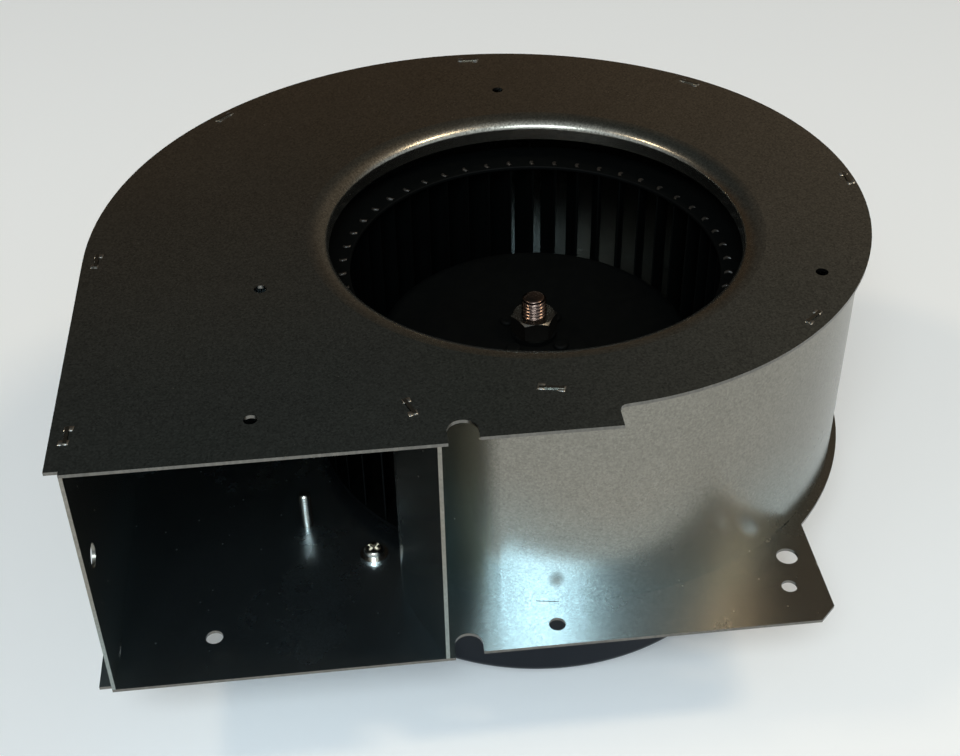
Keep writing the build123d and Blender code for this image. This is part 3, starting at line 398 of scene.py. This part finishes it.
FINISH = {
    "inlet_sheet": inlet_zinc,
    "wall_sheet": wall_zinc,
    "base_sheet": plate_zinc,
    "black_cup": common_finish("black stove enamel, cup", rgba(0.003, 0.005, 0.009), 0.0, 0.24,
                               (0.3, 0.2, 700.0, 0.02), 0.12),
    # Painted shade: the wheel's black lacquer is set near zero, far darker than lacquer is, for the
    # shade inside the housing.
    "wheel_black": common_finish("black lacquer with painted shade, wheel", rgba(0.0008, 0.0012, 0.0012), 0.0, 0.62,
                                 (0.5, 0.3, 900.0, 0.002), 0.10),
    "zinc_hardware": common_finish("bright zinc plate, hardware", rgba(0.62, 0.60, 0.55), 1.0, 0.20,
                                   (0.25, 0.2, 1600.0, 0.02), 0.06, second=rgba(0.50, 0.47, 0.42)),
    "rubber": common_finish("black rubber, grommet", rgba(0.018, 0.018, 0.018), 0.0, 0.62),
    "terminal_plastic": common_finish("cream moulded plastic", rgba(0.62, 0.59, 0.50), 0.0, 0.42),
    "terminal_brass": common_finish("brass, terminals", rgba(0.64, 0.45, 0.18), 1.0, 0.26),
    "lead_insulation": common_finish("blue lead insulation", rgba(0.03, 0.07, 0.24), 0.0, 0.38),
    "gasket_fibre": common_finish("gasket fibre", rgba(0.24, 0.20, 0.14), 0.0, 0.85,
                                  (0.4, 0.5, 1400.0, 0.0), 0.4, second=rgba(0.17, 0.14, 0.10)),
    "cast_aluminium": common_finish("cast aluminium", rgba(0.52, 0.53, 0.54), 1.0, 0.48,
                                    (0.25, 0.3, 1100.0, 0.05), 0.35),
    "lamination_steel": common_finish("stacked laminations", rgba(0.22, 0.22, 0.24), 1.0, 0.42,
                                      lines=("Z", 2000.0, 1.5), second=rgba(0.08, 0.08, 0.09)),
    "winding_copper": common_finish("enamelled copper wire", rgba(0.50, 0.20, 0.07), 0.8, 0.30,
                                    relief=0.3, lines=("Z", 1400.0, 1.2), second=rgba(0.30, 0.10, 0.04)),
    "bearing_steel": common_finish("ground bearing steel", rgba(0.62, 0.62, 0.64), 1.0, 0.12),
    "shaft_steel": common_finish("turned shaft steel", rgba(0.17, 0.12, 0.10), 1.0, 0.24,
                                 lines=("Z", 5200.0, 0.5), second=rgba(0.12, 0.085, 0.07)),
}
SLOT_OF = {entry["node"]: entry["material_slot"] for entry in frame["record"]["subparts"]}
for name, node in NODES.items():
    node.data.materials.clear()
    node.data.materials.append(FINISH[SLOT_OF[name]])
# The wheel's low mirror level is painted shade as well; the cup's mirror level is turned down too.
for slot, mirror_level in (("wheel_black", 0.07), ("black_cup", 0.22)):
    shader = FINISH[slot].node_tree.nodes["Principled BSDF"]
    shader.inputs["Specular IOR Level"].default_value = mirror_level
NODES["impeller_nut"].data.materials[0] = common_finish(
    "dulled zinc, wheel nut", rgba(0.20, 0.19, 0.17), 1.0, 0.26, (0.4, 0.4, 1500.0, 0.05), 0.1)
print("finishes:", len(FINISH), "nodes painted:", len(NODES))

# %% [markdown]
# What CAD leaves out comes next, as new pieces. Every one is built by two helpers. `new_piece` turns
# points and faces into an object, gives it a finish, the one for its record slot unless another is
# passed, and lets it ride on a body. `lathe` winds rows of radii round the shaft axis, and the radius
# may change with the angle, which is what makes a real screw thread possible.

# %% Helpers for new pieces
def new_piece(name, points, faces, slot, body, finish=None, smooth=True):
    mesh = bpy.data.meshes.new(name)
    mesh.from_pydata([tuple(p) for p in points], [], faces)
    mesh.update()
    work = bmesh.new()
    work.from_mesh(mesh)
    bmesh.ops.recalc_face_normals(work, faces=work.faces)
    work.to_mesh(mesh)
    work.free()
    if smooth:
        mesh.shade_smooth()
    mesh.materials.append(finish or FINISH[slot])
    piece = bpy.data.objects.new(name, mesh)
    bpy.context.scene.collection.objects.link(piece)
    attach(piece, body)
    print(name, "points", len(points), "faces", len(faces))
    return piece


def lathe(rows, around):
    """A closed turned body; rows holds (height, a function that gives the radius at an angle)."""
    points, faces = [], []
    for height, radius in rows:
        for step in range(around):
            angle = 2 * math.pi * step / around
            reach = radius(angle)
            points.append((reach * math.cos(angle), reach * math.sin(angle), height))
    for row in range(len(rows) - 1):
        for step in range(around):
            after = (step + 1) % around
            low, high = row * around, (row + 1) * around
            faces.append((low + step, low + after, high + after, high + step))
    low_centre, high_centre = len(points), len(points) + 1
    points += [(0, 0, rows[0][0]), (0, 0, rows[-1][0])]
    last = (len(rows) - 1) * around
    for step in range(around):
        after = (step + 1) % around
        faces.append((low_centre, after, step))
        faces.append((high_centre, last + step, last + after))
    return points, faces


# %% [markdown]
# The wall is held by tabs. Each tab comes through a slot of the plate and is struck at both ends
# with a forked punch, which spreads its corners into two small bright lumps with a groove between.
# The tabs' places are read from the wall's own mesh: its points that stand above the inlet plate,
# or below the motor plate, fall into one close group per tab.

# %% Staked tabs
def close_groups(spots, reach):
    """Sort 2-D points into groups whose members lie within reach of the group's first point."""
    groups = []
    for spot in spots:
        for group in groups:
            if (group[0] - spot).length < reach:
                group.append(spot)
                break
        else:
            groups.append([spot])
    return groups


def tab_ends(level, side):
    """(place, direction) of every wall tab that passes a level, upwards (1) or downwards (-1)."""
    spots = []
    for vertex in NODES["scroll_wall"].data.vertices:
        if (vertex.co.z - level) * side > 0.1 * MM:
            spots.append(Vector((vertex.co.x, vertex.co.y)))
    tabs = []
    for group in close_groups(spots, 9 * MM):
        far = max(((a - b).length, a.x, a.y, b.x, b.y) for a in group for b in group)
        first, second = Vector(far[1:3]), Vector(far[3:5])
        tabs.append(((first + second) / 2, (second - first).normalized()))
    return tabs


STAKE_SPREAD = 2.75 * MM
STAKE_LENGTH = 1.9 * MM
STAKE_PROFILE = ((-1.45, 0.0), (-1.3, 0.16), (-0.95, 0.26), (-0.5, 0.22), (-0.15, 0.06), (0.15, 0.06),
                 (0.5, 0.22), (0.95, 0.26), (1.3, 0.16), (1.45, 0.0))


def make_stakes(name, level, side, body):
    points, faces = [], []
    chance = random.Random(7)
    for place, along in tab_ends(level, side):
        across = Vector((-along.y, along.x))
        for end in (-1, 1):
            middle = place + along * (end * STAKE_SPREAD)
            squash = chance.uniform(0.75, 1.0)
            lean = chance.uniform(-0.15, 0.15)
            start = len(points)
            columns = ((-0.5, 0.0), (-0.42, 0.8), (0.0, 1.0), (0.42, 0.8), (0.5, 0.0))
            for share, lift in columns:
                for offset, rise in STAKE_PROFILE:
                    reach = share * STAKE_LENGTH + lean * offset * MM
                    spot = middle + along * reach + across * (offset * MM * squash)
                    height = level + side * (rise * lift * MM * squash + 0.01 * MM)
                    points.append((spot.x, spot.y, height))
            count = len(STAKE_PROFILE)
            for column in range(len(columns) - 1):
                for row in range(count - 1):
                    a = start + column * count + row
                    faces.append((a, a + 1, a + count + 1, a + count))
    return new_piece(name, points, faces, "zinc_hardware", body, STAKE_METAL)


STAKE_METAL = common_finish("bruised zinc, staked tabs", rgba(0.42, 0.42, 0.40), 1.0, 0.34,
                            (0.6, 0.5, 2600.0, 0.0), 0.3)
make_stakes("stakes_inlet_plate", TOP, 1, "housing")
make_stakes("stakes_motor_plate", PLATE_LOW, -1, "housing")

# %% [markdown]
# The wheel's blades end in small tongues that come through the front ring and are rolled flat on
# it. Only their inner ends catch light, just inside the bellmouth. There are 48 blades, at even
# steps from the X axis, so there is one tongue every 7.5 degrees, each curved as its blade is.

# %% Rolled blade tongues on the front ring
BLADE_INNER = min(math.hypot(v.co.x, v.co.y) for v in NODES["impeller_blades"].data.vertices)
BLADE_COUNT = 48
TONGUE_LENGTH = 2.4 * MM
TONGUE_PROFILE = ((-0.55, 0.0), (-0.48, 0.4), (-0.2, 0.62), (0.2, 0.62), (0.48, 0.4), (0.55, 0.0))
# Painted glint: the tongues' lacquer is much lighter than the rest of the wheel, so that their ends show
# as catching light.
TONGUE_METAL = common_finish("lacquer with painted glint, blade tongues", rgba(0.020, 0.017, 0.014), 0.0, 0.34,
                             (0.6, 0.5, 2200.0, 0.0), 0.2)


def make_tongues():
    points, faces = [], []
    chance = random.Random(21)
    steps = 7
    for blade in range(BLADE_COUNT):
        angle = 2 * math.pi * blade / BLADE_COUNT
        start = len(points)
        lift = chance.uniform(0.6, 1.2)
        for step in range(steps):
            share = step / (steps - 1)
            radius = BLADE_INNER + 0.3 * MM + TONGUE_LENGTH * share
            bearing = angle + math.radians(0.5) * share + math.radians(0.5) * math.sin(math.pi * share)
            taper = math.sin(math.pi * min(max(share, 0.06), 0.94)) ** 0.35
            for offset, rise in TONGUE_PROFILE:
                turned = bearing + offset * MM / radius
                height = WHEEL_TOP + rise * taper * lift * MM - 0.02 * MM
                points.append((radius * math.cos(turned), radius * math.sin(turned), height))
        count = len(TONGUE_PROFILE)
        for step in range(steps - 1):
            for row in range(count - 1):
                a = start + step * count + row
                faces.append((a, a + 1, a + count + 1, a + count))
    return new_piece("blade_tongues", points, faces, "wheel_black", "rotor", TONGUE_METAL)


make_tongues()

# %% [markdown]
# The shaft is turned, so it is wound on the lathe. Its free end carries an M8 thread, 1.25 mm to
# the turn. The radius drops into the groove where height and angle agree, once for each turn, and
# the groove fades in over the last turn, as a die leaves it. The CAD shaft keeps its plain rings
# for the physics, and this one stands for it in the picture.

# %% Threaded shaft
SHAFT_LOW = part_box("motor_shaft")[0].z
SHAFT_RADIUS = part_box("motor_shaft")[1].x
THREAD_PITCH = 1.25 * MM
THREAD_DEPTH = 0.62 * MM
THREAD_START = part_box("lock_washer")[0].z - 3 * MM
DOME = 1.6 * MM
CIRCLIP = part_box("shaft_circlip")
CIRCLIP_GROOVE = 0.35 * MM


def thread_depth(height, angle, start, end, pitch, depth):
    """How far the thread's groove lies under the outer radius at a height and an angle."""
    if height < start or height > end:
        return 0.0
    phase = (height / pitch - angle / (2 * math.pi)) % 1.0
    flank = abs(phase - 0.5) * 2
    cut = min(max((1.0 - flank) * 1.25 - 0.12, 0.0), 1.0)
    fade = min((height - start) / pitch, 1.0)
    return depth * cut * fade


def shaft_rows():
    heights = [SHAFT_LOW, SHAFT_LOW + 0.6 * MM, CIRCLIP[0].z - 0.02 * MM, CIRCLIP[0].z, CIRCLIP[1].z,
               CIRCLIP[1].z + 0.02 * MM, THREAD_START]
    height = THREAD_START
    while height < SHAFT_TOP - DOME:
        height += 0.11 * MM
        heights.append(min(height, SHAFT_TOP - DOME))
    for step in range(1, 9):
        heights.append(SHAFT_TOP - DOME + DOME * math.sin(math.pi / 2 * step / 8.2))
    rows = []
    for height in sorted(heights):
        plain = SHAFT_RADIUS
        if height <= SHAFT_LOW:
            plain -= 0.6 * MM
        if CIRCLIP[0].z <= height <= CIRCLIP[1].z:
            plain -= CIRCLIP_GROOVE
        if height > SHAFT_TOP - DOME:
            rise = (height - (SHAFT_TOP - DOME)) / DOME
            plain = SHAFT_RADIUS - DOME + DOME * math.sqrt(max(1 - rise * rise, 0.0))
        rows.append((height, lambda angle, h=height, r=plain: r - thread_depth(
            h, angle, THREAD_START, SHAFT_TOP, THREAD_PITCH, THREAD_DEPTH)))
    return rows


shaft_points, shaft_faces = lathe(shaft_rows(), 64)
shaft_piece = new_piece("turned_shaft", shaft_points, shaft_faces, "shaft_steel", "rotor")
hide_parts("motor_shaft")

# %% [markdown]
# Bare metal has hardly any colour of its own. What it shows is the room, so the room is most of the
# look. One broad cool light stands in front, and two small warm lamps stand at the sides. The air
# behind the fan is kept dark, because that is what the flat top mirrors towards the camera. The
# floor is a plain pale one, a fifth of a millimetre under the fan so that the two never flicker.

# %% Floor and light
FLOOR_HALF = 6.0
FLOOR_DROP = 0.2 * MM


def make_floor():
    mesh = bpy.data.meshes.new("studio_floor")
    corners = [(-FLOOR_HALF, -FLOOR_HALF, 0), (FLOOR_HALF, -FLOOR_HALF, 0),
               (FLOOR_HALF, FLOOR_HALF, 0), (-FLOOR_HALF, FLOOR_HALF, 0)]
    mesh.from_pydata(corners, [], [(0, 1, 2, 3)])
    floor = bpy.data.objects.new("studio_floor", mesh)
    floor.location.z = -FLOOR_DROP
    bpy.context.scene.collection.objects.link(floor)
    material, tree, shader, place = new_material("pale floor")
    drift = noise(tree, 3.0, 2.0, 0.5, place)
    tone = mix_colours(tree, drift, rgba(0.985, 0.985, 0.985), rgba(0.965, 0.965, 0.965))
    tree.links.new(tone, shader.inputs["Base Color"])
    shader.inputs["Roughness"].default_value = 0.9
    mesh.materials.append(material)
    return floor


def soft_light(name, azimuth, height, distance, size, power, colour=(1.0, 1.0, 1.0), aim=(0, 0, 0.08)):
    """An area light at an azimuth (0 is behind the fan, positive to the right) and a height angle."""
    turn, rise = math.radians(azimuth), math.radians(height)
    flat = distance * math.cos(rise)
    reach = Vector((flat * math.sin(turn), flat * math.cos(turn), distance * math.sin(rise)))
    place = Vector(aim) + reach
    data = bpy.data.lights.new(name, "AREA")
    data.shape = "ELLIPSE"
    data.size, data.size_y = size
    data.energy = power
    data.color = colour
    lamp = bpy.data.objects.new(name, data)
    lamp.location = place
    lamp.rotation_euler = (Vector(aim) - place).to_track_quat("-Z", "Y").to_euler()
    bpy.context.scene.collection.objects.link(lamp)
    return lamp


make_floor()
soft_light("cool window in front", -168.0, 46.0, 1.7, (0.80, 0.60), 15.0, (0.82, 0.94, 1.0))
soft_light("warm lamp on the right", 105.0, 56.0, 1.7, (0.20, 0.50), 6.0, (1.0, 0.80, 0.55))
soft_light("warm lamp on the left", -92.0, 50.0, 1.7, (0.20, 0.20), 3.5, (1.0, 0.80, 0.56))


def make_air():
    """A dim room: dark behind the fan, a little brown low down, lighter in front and below."""
    world = bpy.data.worlds.new("studio_air")
    bpy.context.scene.world = world
    world.use_nodes = True
    tree = world.node_tree
    direction = tree.nodes.new("ShaderNodeTexCoord").outputs["Generated"]
    way = wire(tree, "SeparateXYZ", {0: direction}).outputs
    front = step_between(tree, way["Y"], 0.35, -0.55)
    low = step_between(tree, way["Z"], 0.72, 0.30)
    right = step_between(tree, way["X"], 0.0, 0.5)
    back = mix_colours(tree, low, rgba(0.026, 0.032, 0.032), rgba(0.060, 0.037, 0.020))
    back = mix_colours(tree, right, back, rgba(0.115, 0.092, 0.068))
    air = mix_colours(tree, front, back, rgba(0.62, 0.70, 0.76))
    shade = tree.nodes["Background"]
    tree.links.new(air, shade.inputs["Color"])
    shade.inputs["Strength"].default_value = 1.0


make_air()
bpy.context.scene.view_settings.view_transform = "Standard"

# %% [markdown]
# The last cell brings the scene up to date. Anything added here stays inside the box the fan had right
# after loading.

# %% Scene update
bpy.context.view_layer.update()
